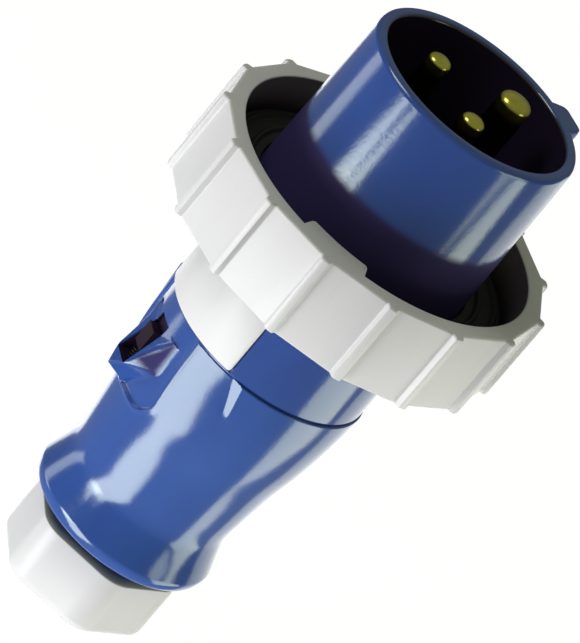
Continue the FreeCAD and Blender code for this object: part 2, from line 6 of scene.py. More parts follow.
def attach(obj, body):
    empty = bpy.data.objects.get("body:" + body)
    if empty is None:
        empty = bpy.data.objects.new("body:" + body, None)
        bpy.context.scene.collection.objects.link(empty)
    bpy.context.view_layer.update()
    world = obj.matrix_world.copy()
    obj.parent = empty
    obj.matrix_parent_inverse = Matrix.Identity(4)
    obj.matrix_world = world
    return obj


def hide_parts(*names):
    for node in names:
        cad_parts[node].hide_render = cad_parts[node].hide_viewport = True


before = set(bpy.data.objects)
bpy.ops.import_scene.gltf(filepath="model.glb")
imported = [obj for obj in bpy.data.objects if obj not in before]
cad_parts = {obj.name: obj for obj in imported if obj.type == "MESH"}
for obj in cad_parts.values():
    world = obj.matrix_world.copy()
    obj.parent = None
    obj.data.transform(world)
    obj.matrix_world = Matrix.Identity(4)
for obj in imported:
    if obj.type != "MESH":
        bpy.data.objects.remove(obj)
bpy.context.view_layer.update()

MM = 0.001

# All sizes are in millimetres and degrees, along the plug's axis from the nut's flat end.

# Stations along the axis
NECK_END = 6.0
NUT_FRONT = 14.7
HANDLE_REAR = 15.1
BORE_FLOOR = 51.3
SPIGOT_END = 55.5
SHOULDER = 66.9
RING_REAR = 86.7
FLANGE_REAR = 91.2
FLANGE_FRONT = 94.7
SHROUD_FLOOR = 96.9
RING_FRONT = 105.6
MOUTH = 134.4

# The latch's hood on the handle: its direction, its shift across, half its width, tail and slot
HOOD_ANGLE = -147.4
HOOD_SHIFT = 0.3
HOOD_HALF = 8.1
HOOD_PEAK = 48.8
HOOD_START = 62.0
SLOT = (51.5, 62.0)
SLOT_TURN = (-6.0, 7.4)
SLOT_FLOOR = 20.5


# Shader maths

class Flow:
    """A shader socket that takes part in arithmetic."""

    def __init__(self, finish, socket):
        self.finish = finish
        self.socket = socket

    def _with(self, operation, other, swapped=False):
        pair = (other, self) if swapped else (self, other)
        return self.finish.node("ShaderNodeMath", {"operation": operation}, {0: pair[0], 1: pair[1]})

    def __add__(self, other):
        return self._with("ADD", other)

    def __radd__(self, other):
        return self._with("ADD", other, True)

    def __sub__(self, other):
        return self._with("SUBTRACT", other)

    def __rsub__(self, other):
        return self._with("SUBTRACT", other, True)

    def __mul__(self, other):
        return self._with("MULTIPLY", other)

    def __rmul__(self, other):
        return self._with("MULTIPLY", other, True)

    def __truediv__(self, other):
        return self._with("DIVIDE", other)

    def __pow__(self, other):
        return self._with("POWER", other)


class Network:
    """A node tree whose nodes are all made by one method."""

    def __init__(self, tree):
        self.tree = tree

    def node(self, kind, settings=None, sockets=None, output=0):
        made = self.tree.nodes.new(kind)
        for setting, value in (settings or {}).items():
            if setting == "stops":
                ramp = made.color_ramp
                while len(ramp.elements) < len(value):
                    ramp.elements.new(0.5)
                for element, (position, colour) in zip(ramp.elements, value):
                    element.position = position
                    element.color = (*colour, 1.0)
            else:
                setattr(made, setting, value)
        for socket, value in (sockets or {}).items():
            if isinstance(value, Flow):
                self.tree.links.new(value.socket, made.inputs[socket])
            else:
                made.inputs[socket].default_value = value
        return Flow(self, made.outputs[output])

    def link(self, flow, node, socket):
        self.tree.links.new(flow.socket, self.tree.nodes[node].inputs[socket])


class Finish(Network):
    """One material: a surface shader and what feeds it."""

    def __init__(self, name, **constants):
        self.material = bpy.data.materials.new(name)
        self.material.use_nodes = True
        super().__init__(self.material.node_tree)
        for socket, value in constants.items():
            self.tree.nodes["Principled BSDF"].inputs[socket.replace("_", " ")].default_value = value
        self.place = self.node("ShaderNodeTexCoord", output="Object")

    def noise(self, scale, detail=3.0, roughness=0.5, stretch=(1.0, 1.0, 1.0)):
        place = self.node("ShaderNodeMapping", None, {"Vector": self.place, "Scale": stretch})
        return self.node("ShaderNodeTexNoise", None,
                         {"Vector": place, "Scale": scale, "Detail": detail, "Roughness": roughness})

    def blend(self, share, low, high):
        """A colour between two, by a share from 0 to 1."""
        return self.node("ShaderNodeMix", {"data_type": "RGBA"}, {0: share, 6: low, 7: high}, 2)

    def axes(self):
        """A point's x, y and z, in metres."""
        return [self.node("ShaderNodeSeparateXYZ", None, {0: self.place}, axis) for axis in range(3)]

    def from_axis(self):
        """How far a point is from the plug's axis, and its height, in metres."""
        x, y, z = self.axes()
        return (x * x + y * y) ** 0.5, z

    def band(self, value, low, high):
        """Rises from 0 to 1 as the value goes from low to high."""
        return self.node("ShaderNodeMapRange", {"interpolation_type": "SMOOTHSTEP"},
                         {0: value, 1: low, 2: high, 3: 0.0, 4: 1.0})

    def zone(self, value, rise, fall):
        """1 between two ends in millimetres, each of them a span: one to rise in, one to fall in."""
        return (self.band(value, rise[0] * MM, rise[1] * MM)
                * self.band(value, fall[1] * MM, fall[0] * MM))

    def feed(self, socket, flow):
        self.link(flow, "Principled BSDF", socket)

    def relief(self, height, distance, strength=1.0):
        self.feed("Normal", self.node("ShaderNodeBump", None,
                                      {"Height": height, "Distance": distance, "Strength": strength}))


def rgb(red, green, blue):
    """A linear colour from the display values 0 to 255."""
    def linear(value):
        value /= 255.0
        return value / 12.92 if value <= 0.04045 else ((value + 0.055) / 1.055) ** 2.4
    return (linear(red), linear(green), linear(blue), 1.0)


FLANK_SPREAD = 0.4
FLANK_WAIST = 55.0


def hood_flanks(finish):
    """Where a point lies on the two slanted flanks of the latch's hood, from 0 to 1; there a dark matt
    painted shade replaces the blue's gloss.
    """
    turn = math.radians(HOOD_ANGLE)
    x, y, z = finish.axes()
    outward = x * math.cos(turn) + y * math.sin(turn)
    across = y * math.cos(turn) - x * math.sin(turn) - HOOD_SHIFT * MM
    beside = (across * across) ** 0.5
    flank = finish.band(beside - (z - FLANK_WAIST * MM) * FLANK_SPREAD, 3.0 * MM, 4.6 * MM)
    flank = flank * finish.band(beside, HOOD_HALF * MM, (HOOD_HALF - 1.4) * MM)
    flank = flank * finish.zone(z, (52.6, 54.8), (61.4, 63.4))
    return flank * finish.band(outward, 17.0 * MM, 17.5 * MM)


def shroud_foot(finish):
    """Where a point lies low on the shroud, inside the ring's recess, from 0 to 1; there a dark matt painted
    shade replaces the gloss.
    """
    return finish.zone(finish.from_axis()[1], (94.0, 95.0), (111.4, 113.8))


def moulded(name, colour, shade, gloss, painted_shades=(), painted_shade_mask=None, painted_shade_colour=None, **constants):
    """Moulded plastic: a faint flow of the colour, a skin of tiny pits and an uneven gloss.

    Each hollow is a radius, a low and a high end, a softness and the darker colour painted inside it as
    shade.
    shaded gives the share of a place where a matt painted shade replaces the gloss, and dull the colour of
    that painted shade."""
    wall, pit_depth = 0.15, 0.00002
    finish = Finish(name, **constants)
    flow = finish.noise(60.0, 4.0, 0.55, (1.0, 1.0, 0.35))
    speck = finish.noise(2600.0, 2.0, 0.6)
    skin_colour = finish.blend(finish.band(flow * 0.8 + speck * 0.2, 0.32, 0.68), shade, colour)
    away, level = finish.from_axis()
    # painted shade: each zone paints a darker colour where the part gets little light
    for radius, low, high, soft, dark in painted_shades:
        inside = finish.band(away, (radius + wall) * MM, (radius - wall) * MM)
        inside = inside * finish.zone(level, (low, low + soft), (high - soft, high))
        skin_colour = finish.blend(inside, skin_colour, dark)
    roughness = gloss + finish.noise(420.0) * 0.06 + speck * 0.03
    # painted shade: the masked places lose their gloss to a matt shader in a darker colour
    if painted_shade_mask:
        matt = finish.node("ShaderNodeBsdfPrincipled", None,
                           {"Base Color": painted_shade_colour, "Roughness": 0.6, "Specular IOR Level": 0.12})
        glossy = Flow(finish, finish.tree.nodes["Principled BSDF"].outputs[0])
        finish.link(finish.node("ShaderNodeMixShader", None, {0: painted_shade_mask(finish), 1: glossy, 2: matt}),
                    "Material Output", "Surface")
    finish.feed("Base Color", skin_colour)
    finish.feed("Roughness", roughness)
    finish.relief(finish.noise(1500.0, 2.0) * 0.7 + speck * 0.3, pit_depth)
    return finish.material


def turned_metal(name, colour, tarnish, gloss, shadow=None):
    """Turned metal: fine tool marks round the axis, a little tarnish, and a polished lustre.

    shadow is a height and a colour: below that height the metal is darker."""
    finish = Finish(name, Metallic=1.0)
    marks = finish.noise(5200.0, 2.0, 0.5, (0.02, 0.02, 1.0))
    cloud = finish.noise(240.0, 4.0, 0.6)
    lustre = finish.blend(finish.band(cloud, 0.35, 0.75), colour, tarnish)
    if shadow:
        height, dark = shadow
        below = finish.band(finish.from_axis()[1], height * MM, (height - 1.5) * MM)
        lustre = finish.blend(below, lustre, dark)
    finish.feed("Base Color", lustre)
    finish.feed("Roughness", gloss + cloud * 0.12 + marks * 0.05)
    finish.relief(marks, 0.000012)
    return finish.material


def rubber(name, colour, bloom):
    """Black rubber: matt, with a greyish bloom and a fine grain."""
    finish = Finish(name)
    cloud = finish.noise(300.0, 4.0, 0.6)
    grain = finish.noise(3800.0, 2.0, 0.6)
    finish.feed("Base Color", finish.blend(finish.band(cloud, 0.4, 0.8), colour, bloom))
    finish.feed("Roughness", 0.66 + grain * 0.2)
    finish.relief(grain, 0.00003)
    return finish.material


POLISHED = {"Specular_IOR_Level": 0.9, "Specular_Tint": (0.88, 1.0, 0.88, 1.0)}
UNPOLISHED = {"Specular_IOR_Level": 0.15}
PIN_SHADOW = (0.10, 0.085, 0.03, 1.0)

# painted shade: the hood's two flanks get a dark purple matt colour in place of the gloss
blue = moulded("blue_polyamide", rgb(48, 84, 160), rgb(43, 76, 150), 0.1,
               painted_shade_mask=hood_flanks, painted_shade_colour=rgb(50, 44, 98), **POLISHED)
# painted shade: the shroud's foot down in the ring's recess and the inside of its mouth are painted dark, and
# the foot's gloss gives way to a matt dark colour
shroud_blue = moulded("shroud_blue", rgb(47, 80, 156), rgb(42, 72, 145), 0.09,
                      [(24.6, 88.0, 113.0, 6.0, rgb(32, 26, 50)), (20.8, 92.0, 140.0, 1.0, rgb(38, 30, 50))],
                      shroud_foot, rgb(56, 48, 94), **POLISHED)
# painted shade: the latch down in the hood's slot is painted near black
latch_blue = moulded("latch_blue", rgb(40, 24, 44), rgb(34, 20, 36), 0.5, **UNPOLISHED)
# painted shade: the walls and floor of the latch's slot are painted near black
slot_painted_shade = moulded("slot_painted_shade", rgb(34, 22, 50), rgb(28, 18, 42), 0.5, **UNPOLISHED)
# painted shade: the ring's recess walls are painted darker, darkest deep behind the front rim
ring_grey = moulded("ring_grey", rgb(224, 224, 223), rgb(216, 216, 215), 0.32,
                    [(33.2, 86.0, 105.5, 0.2, rgb(150, 138, 134)), (33.2, 80.0, 104.0, 8.0, rgb(60, 54, 56))])
# painted shade: the nut's front bevel and face are painted a dark olive grey
nut_grey = moulded("nut_grey", rgb(224, 224, 224), rgb(217, 217, 217), 0.34,
                   [(20.0, 13.5, 16.0, 0.35, rgb(112, 114, 102))])
gland_grey = moulded("gland_grey", rgb(196, 197, 195), rgb(188, 189, 187), 0.45)
plate_white = moulded("plate_white", rgb(229, 229, 228), rgb(223, 223, 221), 0.38)
carrier_black = moulded("carrier_black", rgb(26, 24, 27), rgb(20, 19, 21), 0.5)
brass, earth_brass = (turned_metal(name, (0.62, 0.58, 0.12, 1.0), (0.50, 0.46, 0.09, 1.0), 0.14,
                                   (height, PIN_SHADOW))
                      for name, height in (("pin_brass", 132.3), ("earth_pin_brass", 133.2)))
steel = turned_metal("bright_steel", (0.62, 0.62, 0.63, 1.0), (0.50, 0.50, 0.51, 1.0), 0.22)
spring_black = turned_metal("spring_black", (0.05, 0.045, 0.05, 1.0), (0.03, 0.028, 0.03, 1.0), 0.45)
gasket_black = rubber("gasket_black", rgb(24, 23, 26), rgb(32, 31, 34))


# Mesh making

def make_piece(name, corners, faces, material, body, slot, replaces=(), crease=32.0):
    """A smooth mesh from corners in millimetres, with its sharp edges kept, riding on a body."""
    mesh = bpy.data.meshes.new(name)
    mesh.from_pydata([Vector(corner) * MM for corner in corners], [], faces)
    mesh.validate()
    mesh.materials.append(material)
    mesh.shade_smooth()
    mesh.set_sharp_from_angle(angle=math.radians(crease))
    piece = bpy.data.objects.new(name, mesh)
    bpy.context.scene.collection.objects.link(piece)
    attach(piece, body)
    if replaces:
        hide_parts(*replaces)
    return piece


def eased(share):
    """A share from 0 to 1 that starts and ends gently."""
    share = min(max(share, 0.0), 1.0)
    return share * share * (3 - 2 * share)


def filleted(outline, steps=6):
    """Rounds the corners of an outline given as (r, z) or (r, z, rounding)."""
    points = []
    for index, corner in enumerate(outline):
        here = Vector(corner[:2])
        rounding = corner[2] if len(corner) > 2 else 0.0
        if rounding == 0.0 or index in (0, len(outline) - 1):
            points.append(tuple(here))
            continue
        back = Vector(outline[index - 1][:2]) - here
        ahead = Vector(outline[index + 1][:2]) - here
        half = back.angle(ahead) / 2
        reach = min(rounding / math.tan(half), back.length * 0.49, ahead.length * 0.49)
        radius = reach * math.tan(half)
        back.normalize()
        ahead.normalize()
        centre = here + (back + ahead).normalized() * (radius / math.sin(half))
        first = here + back * reach - centre
        last = here + ahead * reach - centre
        for step in range(steps + 1):
            points.append(tuple(centre + first.slerp(last, step / steps).normalized() * radius))
    return points


def grid_faces(rows, columns, closed):
    """Quads between rows of a grid; closed joins the last column to the first."""
    faces = []
    for row in range(rows - 1):
        for column in range(columns if closed else columns - 1):
            after = (column + 1) % columns
            faces.append((row * columns + column, row * columns + after,
                          (row + 1) * columns + after, (row + 1) * columns + column))
    return faces


def spun(outline, angles, shape=None):
    """Corners and quads of an outline spun about the axis; shape moves each point by its angle."""
    corners = []
    for radius, height in outline:
        for angle in angles:
            reach, level = shape(radius, height, angle) if shape else (radius, height)
            turn = math.radians(angle)
            corners.append((reach * math.cos(turn), reach * math.sin(turn), level))
    return corners, grid_faces(len(outline), len(angles), True)


def even_angles(count):
    """Angles in even steps round the axis."""
    return [360.0 * index / count for index in range(count)]


def with_fine(low, high, coarse, spans):
    """Stations from low to high: coarse steps, and fine ones inside each (start, end, step) span."""
    stations = []
    at = low
    while at < high - 1e-6:
        stations.append(at)
        step = min([span[2] for span in spans if span[0] - coarse <= at < span[1]] or [coarse])
        at += step
    stations.append(high)
    return stations


def moved(corners, by):
    """The corners, all moved by the same step."""
    return [(x + by[0], y + by[1], z + by[2]) for x, y, z in corners]


def joined(*parts):
    """Several bodies' corners and faces as one body's."""
    corners, faces = [], []
    for more_corners, more_faces in parts:
        start = len(corners)
        corners += more_corners
        faces += [tuple(start + index for index in face) for face in more_faces]
    return corners, faces


def through(points, at):
    """A smooth curve through (height, radius) points, read at a height."""
    count = len(points)
    for index in range(count - 1):
        if at <= points[index + 1][0] or index == count - 2:
            break
    before = points[max(index - 1, 0)]
    start, end = points[index], points[index + 1]
    after = points[min(index + 2, count - 1)]
    run = end[0] - start[0]
    share = (at - start[0]) / run
    leave = (end[1] - before[1]) / max(end[0] - before[0], 1e-6) * run
    arrive = (after[1] - start[1]) / max(after[0] - start[0], 1e-6) * run
    square, cube = share * share, share ** 3
    return ((2 * cube - 3 * square + 1) * start[1] + (cube - 2 * square + share) * leave
            + (3 * square - 2 * cube) * end[1] + (cube - square) * arrive)


# Front housing: shroud, key, flange, barrel with the plate's recess

KEY_ANGLE = 50.0
PLATE = (-170.0, -95.3, 67.5, 84.85)
PLATE_GAP = 0.25
PLATE_EDGE = 0.12
BARREL_R = 22.2
RECESS_R = 21.7
SPIGOT_R = 19.2
FLANGE_R = 28.2
SHROUD_R = 23.0
SHROUD_ROOT_R = 23.8
MOUTH_R = 20.5
CARRIER_R = 15.2


def inside_box(value, low, high, soft):
    """1 inside a span and 0 outside, with soft ends."""
    return eased((value - low) / soft + 0.5) * eased((high - value) / soft + 0.5)


def housing_shape(radius, height, angle):
    """Sinks the label plate's recess into the barrel."""
    if RECESS_R < radius and SHOULDER < height < RING_REAR:
        turn = (angle + 180.0) % 360.0 - 180.0
        across, low, high = (math.radians(limit) * BARREL_R for limit in (turn, *PLATE[:2]))
        sunk = inside_box(across, low - PLATE_GAP, high + PLATE_GAP, PLATE_EDGE)
        sunk *= inside_box(height, PLATE[2] - PLATE_GAP, PLATE[3] + PLATE_GAP, PLATE_EDGE)
        radius = radius + (min(radius, RECESS_R) - radius) * sunk
    return radius, height


def front_housing():
    """Spigot, shallow groove, barrel, flange and shroud as one profile, spun, with the key on it."""
    outline = [
        (SPIGOT_R, SPIGOT_END), (SPIGOT_R, SHOULDER), (21.9, SHOULDER, 0.1),
        (21.95, SHOULDER + 0.3, 0.15), (BARREL_R, SHOULDER + 0.55, 0.2),
    ]
    fine = [SHOULDER + 2.6 + 0.6 * step for step in range(27)]
    fine = sorted(set(fine + [PLATE[3] + offset for offset in (0.05, 0.15, 0.25, 0.35, 0.45)]))
    outline += [(BARREL_R, height) for height in fine]
    outline += [
        (BARREL_R, FLANGE_REAR, 0.4), (FLANGE_R, FLANGE_REAR, 0.4), (FLANGE_R, FLANGE_FRONT, 0.4),
        (SHROUD_ROOT_R, FLANGE_FRONT, 0.6), (SHROUD_R, MOUTH, 1.15), (MOUTH_R, MOUTH, 0.9),
        (MOUTH_R, SHROUD_FLOOR, 0.5), (CARRIER_R, SHROUD_FLOOR),
    ]
    spans = [(edge + 360.0 - 1.2, edge + 360.0 + 1.2, 0.12) for edge in PLATE[:2]]
    angles = with_fine(0.0, 360.0, 1.5, spans)[:-1]
    body = spun(filleted(outline), angles, housing_shape)
    return make_piece("shroud_and_barrel", *joined(body, key_block()), shroud_blue, "plug", "housing_blue",
                      ["front_housing"])


def key_block():
    """The polarising key: a tapered rib with rounded corners on the shroud's outside."""
    half_root, half_top, root, top, corner = 4.3, 3.4, 22.0, 26.6, 1.5
    plan = filleted([
        (root, -half_root), (top, -half_top, corner), (top, half_top, corner), (root, half_root),
    ])
    levels = [(FLANGE_FRONT, 0.0), (MOUTH - 1.1, 0.0), (MOUTH - 0.65, 0.12), (MOUTH - 0.45, 0.4)]
    corners, turn = [], math.radians(KEY_ANGLE)
    for level, inset in levels:
        for reach, side in plan:
            reach -= inset * (reach - root) / (top - root)
            side *= 1 - inset / half_root
            corners.append((reach * math.cos(turn) - side * math.sin(turn),
                            reach * math.sin(turn) + side * math.cos(turn), level))
    faces = grid_faces(len(levels), len(plan), True)
    first = (len(levels) - 1) * len(plan)
    faces.append(tuple(range(first, first + len(plan))))
    return corners, faces


# Label plate

def label_plate():
    """A thin curved plate with rounded corners and a softened rim."""
    radius, thick, corner = 22.5, 0.8, 0.9
    half = math.radians(PLATE[1] - PLATE[0]) / 2 * radius
    middle = math.radians(PLATE[0] + PLATE[1]) / 2
    low, high = PLATE[2], PLATE[3]
    columns = with_fine(-half, half, 0.9, [(-half, -half + corner, 0.12), (half - corner, half, 0.12)])
    corners = []
    layers = [(0.0, radius - thick), (0.0, radius - 0.18), (0.05, radius - 0.06), (0.18, radius)]
    for inset, reach in layers:
        for side in (0, 1):
            for along in columns:
                slack = corner - (half - abs(along))
                bite = corner - math.sqrt(max(corner ** 2 - max(slack, 0.0) ** 2, 0.0))
                level = (high - bite - inset) if side else (low + bite + inset)
                along = min(max(along, -half + inset), half - inset)
                turn = middle + along / radius
                corners.append((reach * math.cos(turn), reach * math.sin(turn), level))
    count = len(columns)
    faces = []
    for layer in range(len(layers) - 1):
        base, upper = layer * 2 * count, (layer + 1) * 2 * count
        for step in range(count - 1):
            faces.append((base + step, base + step + 1, upper + step + 1, upper + step))
            faces.append((base + count + step + 1, base + count + step,
                          upper + count + step, upper + count + step + 1))
        faces.append((base + count, base, upper, upper + count))
        faces.append((base + count - 1, base + 2 * count - 1, upper + 2 * count - 1, upper + count - 1))
    top = (len(layers) - 1) * 2 * count
    for step in range(count - 1):
        faces.append((top + step, top + step + 1, top + count + step + 1, top + count + step))
        faces.append((step + 1, step, count + step, count + step + 1))
    return make_piece("label_plate_skin", corners, faces, plate_white, "plug", "plate_white", ["label_plate"])


# Bayonet locking ring

RIBS = 15
RIB_PITCH = 360.0 / RIBS
RIB_ANGLE = 3.5
RIB_TIP = 37.9
RIB_HALF = 1.7
RING_APOTHEM = 36.1
RING_BEVEL = 0.55
RECESS_WALL_R = 32.7
RING_FLOOR = RING_REAR + 3.0
CLIP_STEP = RING_REAR + 1.5


def ring_reach(angle, inset):
    """The grip ring's outside at one angle, moved inwards: flat panels and rounded ribs.

    The two are joined by a smooth maximum, whose own rise at the joint is taken off again."""
    off = (angle - RIB_ANGLE + RIB_PITCH / 2) % RIB_PITCH - RIB_PITCH / 2
    turn = math.radians(abs(off))
    panel = (RING_APOTHEM - inset) / math.cos(math.radians(RIB_PITCH / 2) - turn)
    across = RIB_TIP * math.sin(turn)
    crown = RIB_TIP - inset - 0.18 * across ** 2
    flank = RIB_HALF - inset * 0.6
    rib = crown - 3.2 * max(across - flank * 0.52, 0.0) ** 1.35
    sharp, level, joint_rise = 6.0, 37.0, 0.06
    blend = math.exp(sharp * (panel - level)) + math.exp(sharp * (rib - level))
    return math.log(blend) / sharp + level - joint_rise


def ring_angles():
    """Fine steps over each rib and coarse ones over each panel."""
    offsets = [0.22 * step for step in range(-19, 20)]
    offsets += [side * (4.6 + 0.8 * step) for step in range(10) for side in (-1, 1)]
    offsets = sorted(offset for offset in offsets if -RIB_PITCH / 2 <= offset < RIB_PITCH / 2 - 0.3)
    return sorted((RIB_ANGLE + RIB_PITCH * rib + offset) % 360.0 for rib in range(RIBS) for offset in offsets)


def ring_shape(inset, height, angle):
    """Small values are insets from the ribbed outline, and large ones are radii."""
    return (ring_reach(angle, inset) if inset < RING_APOTHEM / 2 else inset), height


def quarter(size, steps):
    """Insets and rises round a quarter circle, from its start at the side to its top."""
    turns = [math.radians(90.0 * step / steps) for step in range(1, steps + 1)]
    return [(size * (1 - math.cos(turn)), size * math.sin(turn)) for turn in turns]


def bayonet_ring():
    """The ribbed outside, bevelled at the front, the recess with its floor and step, and two lugs."""
    outside = [(3.0, RING_REAR), (0.5, RING_REAR), (0.12, RING_REAR + 0.12), (0.0, RING_REAR + 0.5)]
    outside += [(0.0, RING_FRONT - RING_BEVEL)]
    outside += [(inset, RING_FRONT - RING_BEVEL + rise) for inset, rise in quarter(RING_BEVEL, 6)]
    inside = filleted([
        (33.4, RING_FRONT), (RECESS_WALL_R, RING_FRONT, 0.35), (RECESS_WALL_R, RING_FLOOR, 0.5),
        (22.5, RING_FLOOR, 0.2), (22.5, CLIP_STEP, 0.2), (25.6, CLIP_STEP, 0.2),
        (25.6, RING_REAR, 0.3), (31.0, RING_REAR),
    ])
    body = spun(outside + inside, ring_angles(), ring_shape)
    body[1].extend(closing(len(outside + inside), len(ring_angles())))
    lugs = [lug(start) for start in (-106.0, 74.0)]
    return make_piece("locking_ring", *joined(body, *lugs), ring_grey, "locking_ring", "ring_grey",
                      ["bayonet_ring"], crease=40.0)


def closing(rows, columns):
    """Quads from the last row back to the first."""
    last = (rows - 1) * columns
    return [(last + column, last + (column + 1) % columns, (column + 1) % columns, column)
            for column in range(columns)]


def lug(start):
    """One inner bayonet lug with rounded corners, its rear face a ramp."""
    span, inner, outer, thick, ramp, corner, columns = 26.0, 28.7, 33.0, 3.0, 1.1, 0.7, 40
    corners, plan = [], []
    for step in range(columns + 1):
        share = step / columns
        edge = min(share, 1 - share) * math.radians(span) * inner
        bite = corner - math.sqrt(max(corner ** 2 - max(corner - edge, 0.0) ** 2, 0.0))
        plan.append((math.radians(start + span * share), inner + bite, ramp * share))
    front_edge = [(0.25, 0.0), (0.08, -0.08), (0.0, -0.25)]
    rear_edge = [(0.0, 0.25 - thick), (0.3, -thick)]
    for rows, climbs in ((front_edge, False), (rear_edge, True)):
        for inset, level in rows:
            for turn, reach, climb in plan:
                corners.append(((reach + inset) * math.cos(turn), (reach + inset) * math.sin(turn),
                                RING_FRONT + level + climb * climbs))
    for level in (-thick, 0.0):
        for turn, _, _ in plan:
            corners.append((outer * math.cos(turn), outer * math.sin(turn), RING_FRONT + level))
    count, rows = columns + 1, 7
    faces = []
    for row in range(rows):
        after = (row + 1) % rows
        for step in range(columns):
            faces.append((row * count + step, row * count + step + 1,
                          after * count + step + 1, after * count + step))
    for end in (0, columns):
        rim = [row * count + end for row in range(rows)]
        faces.append(tuple(reversed(rim) if end else rim))
    return corners, faces


# Flange gasket

def flange_gasket():
    """A flat ring with two raised sealing lips, its rim turned down over the flange."""
    inner, outer, top, foot = 24.0, 31.9, FLANGE_FRONT + 3.0, FLANGE_FRONT - 2.4
    lip_half, lip_rise = 0.75, 0.9
    outline = [(inner, FLANGE_FRONT), (inner, top, 0.3)]
    for radius in (26.4, 30.2):
        outline += [(radius - lip_half, top, 0.3), (radius, top + lip_rise, 0.35),
                    (radius + lip_half, top, 0.3)]
    outline += [(outer, top, 0.4), (outer, foot, 0.3), (FLANGE_R + 0.1, foot)]
    body = spun(filleted(outline)[::-1], even_angles(240))
    return make_piece("flange_seal", *body, gasket_black, "plug", "gasket_rubber", ["flange_gasket"])


# Contact pins

PIN_CIRCLE_R = 9.55
TERMINAL_REAR, TERMINAL_BORE, TERMINAL_FRONT, COLLAR_FRONT = 62.4, 74.4, 79.4, 81.6


def contact_pin(node, radius, angle, tip):
    """A turned pin with a rounded tip; its rear end is the bored terminal."""
    turn = math.radians(angle)
    centre = (PIN_CIRCLE_R * math.cos(turn), PIN_CIRCLE_R * math.sin(turn), 0.0)
    terminal = radius + (1.1 if node == "earth_pin" else 1.4)
    bore, collar, shank = terminal * 0.55, terminal + 0.7, radius + 0.3
    outline = [
        (bore, TERMINAL_BORE), (bore, TERMINAL_REAR, 0.2), (terminal, TERMINAL_REAR, 0.3),
        (terminal, TERMINAL_FRONT, 0.2), (collar, TERMINAL_FRONT, 0.2), (collar, COLLAR_FRONT, 0.2),
        (shank, COLLAR_FRONT), (shank, SHROUD_FLOOR, 0.08), (radius, SHROUD_FLOOR),
    ]
    dome = 0.55 * radius
    crown = [(radius * math.cos(math.radians(7.5 * step)) ** 0.8,
              tip - dome + dome * math.sin(math.radians(7.5 * step))) for step in range(13)]
    corners, faces = spun(filleted(outline, 8) + crown, even_angles(72))
    metal = earth_brass if node == "earth_pin" else brass
    return make_piece(node + "_turned", moved(corners, centre), faces, metal, "plug", "pin_brass", [node],
                      crease=50.0)


# Handle

HANDLE_EDGE_R = 22.55
HANDLE_CURVE = [
    (19.9, 19.9), (25.1, 18.35), (28.5, 17.75), (33.6, 18.2), (42.1, 19.3), (50.6, 20.9),
    (58.6, 21.95), (SHOULDER, HANDLE_EDGE_R),
]
HANDLE_BORE_R = 19.5
NECK_R = 12.6
NECK_BORE_R = 10.2
THREAD_PITCH = 2.0
COLLAR_R = 14.6
FLARE_R = 19.9
PAD_HALF = 10.9
PAD_LOW = 46.0
PAD_CORNER = 5.0
PAD_DEPTH = 0.55
PAD_BEAD = 0.2
LEDGE_R = 22.0
LEDGE_START = 48.0
LEDGE = (-184.0, -91.8)
FACET_CREST = -85.4
FACET_TIP = (-83.2, 60.6)


def on_cylinder(radius, angle, height):
    """The place at a radius, an angle and a height."""
    turn = math.radians(angle)
    return Vector((radius * math.cos(turn), radius * math.sin(turn), height))


FACET_FOOT = on_cylinder(LEDGE_R, LEDGE[1], SHOULDER)
FACET_NORMAL = (on_cylinder(HANDLE_EDGE_R, FACET_CREST, SHOULDER) - FACET_FOOT).cross(
    on_cylinder(LEDGE_R, *FACET_TIP) - FACET_FOOT).normalized()
if FACET_NORMAL.dot(FACET_FOOT) < 0:
    FACET_NORMAL = -FACET_NORMAL


def soft_min(first, second, rounding):
    """The lower of two, with a rounded inner corner."""
    gap = max(rounding - abs(first - second), 0.0) / rounding
    return min(first, second) - gap * gap * rounding / 4


def soft_max(first, second, rounding):
    """The higher of two, with a rounded inner corner."""
    return -soft_min(-first, -second, rounding)


